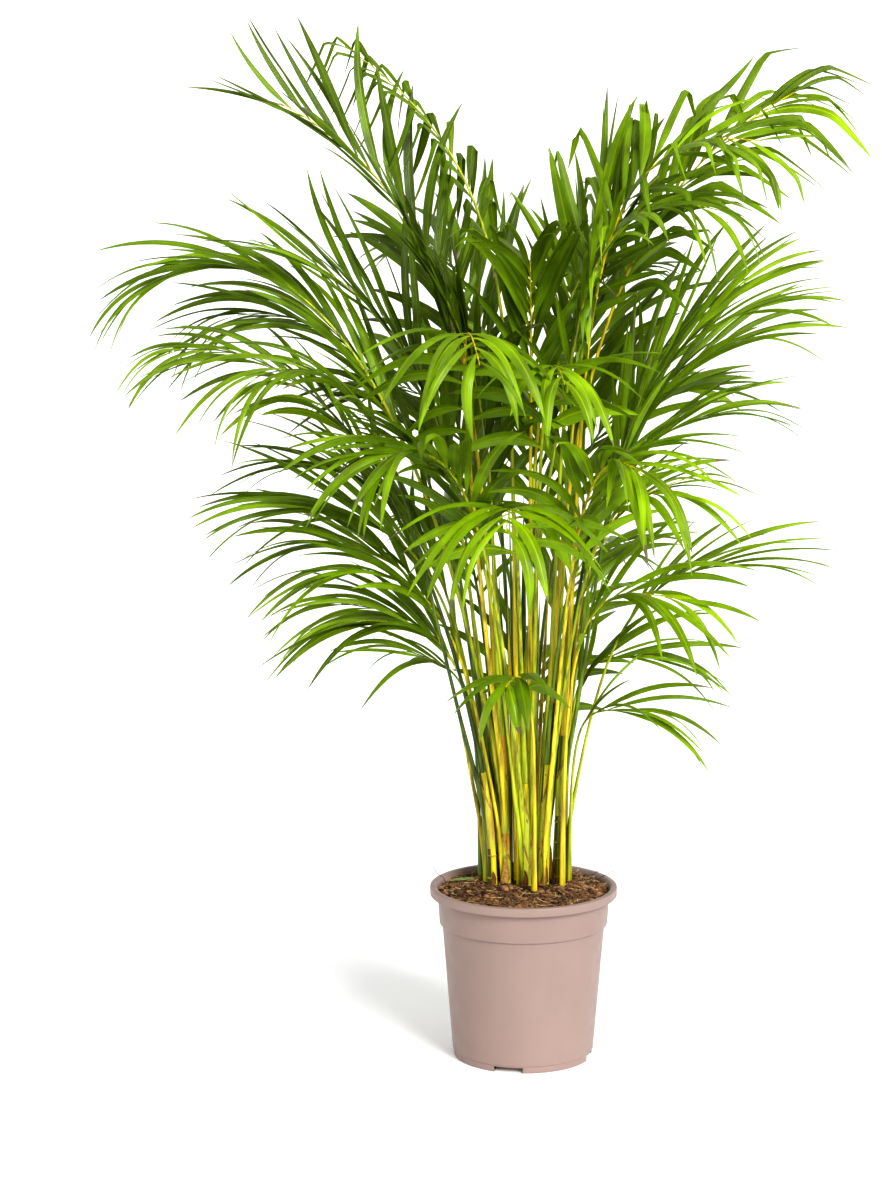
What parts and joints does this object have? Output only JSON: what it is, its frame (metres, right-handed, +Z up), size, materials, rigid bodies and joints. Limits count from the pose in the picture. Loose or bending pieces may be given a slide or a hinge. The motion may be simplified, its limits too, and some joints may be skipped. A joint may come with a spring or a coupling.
{
  "type": "potted areca palm",
  "caption": "Clumping palm with a sheaf of slim yellow canes and arching feathery fronds, rooted in soil in a round tapered plastic nursery pot with a stepped collar.",
  "frame": {"origin": "middle of the pot's flat underside, which stands on the floor", "axes": "+Z up, -Y towards the viewer of the picture, +X to the viewer's right"},
  "size_m": [0.8585, 0.7002, 1.1458],
  "materials": {
    "pot_plastic": "smooth injection-moulded taupe plastic, slightly satin",
    "soil": "loose brown potting soil with pale fibres",
    "cane": "smooth waxy yellow to olive stem",
    "leaf": "satin green leaflets on a yellow-green rib"
  },
  "bodies": {
    "root": {"pot": "pot_plastic", "potting_soil": "soil", "cane_front_left": "cane", "cane_left_inner": "cane", "cane_left_outer": "cane", "cane_front": "cane", "cane_middle": "cane", "cane_front_right": "cane", "cane_right_inner": "cane", "cane_right_outer": "cane", "cane_left_rear": "cane", "cane_rear_middle": "cane", "cane_right_rear": "cane", "cane_back": "cane", "frond_crown_left_long": "leaf", "frond_crown_left": "leaf", "frond_crown_right_long": "leaf", "frond_crown_right": "leaf", "frond_crown_rear_right": "leaf", "frond_crown_spear": "leaf", "frond_crown_middle": "leaf", "frond_crown_mid_left": "leaf", "frond_left_high": "leaf", "frond_left_long": "leaf", "frond_left_mid_long": "leaf", "frond_left_low_long": "leaf", "frond_left_front": "leaf", "frond_left_middle": "leaf", "frond_left_outer": "leaf", "frond_left_inner": "leaf", "frond_left_low_rear": "leaf", "frond_left_low_front": "leaf", "frond_left_shoot_rear": "leaf", "frond_left_shoot_front": "leaf", "frond_left_shoot_low": "leaf", "frond_right_droop": "leaf", "frond_right_high": "leaf", "frond_right_long": "leaf", "frond_right_rear": "leaf", "frond_right_middle": "leaf", "frond_right_outer": "leaf", "frond_right_low_long": "leaf", "frond_right_wide": "leaf", "frond_right_shoot_front": "leaf", "frond_right_shoot_rear": "leaf", "frond_right_shoot_low": "leaf", "frond_front_fan_low": "leaf", "frond_front_fan_high": "leaf", "frond_front_fan_right": "leaf", "frond_front_left": "leaf", "frond_front_right": "leaf", "frond_front_shoot": "leaf", "frond_back_high_left": "leaf", "frond_back_high_right": "leaf", "frond_back_left": "leaf", "frond_back_right": "leaf", "frond_back_middle": "leaf", "frond_back_low_left": "leaf", "frond_back_low_right": "leaf", "frond_back_shoot": "leaf"}
  },
  "joints": []
}
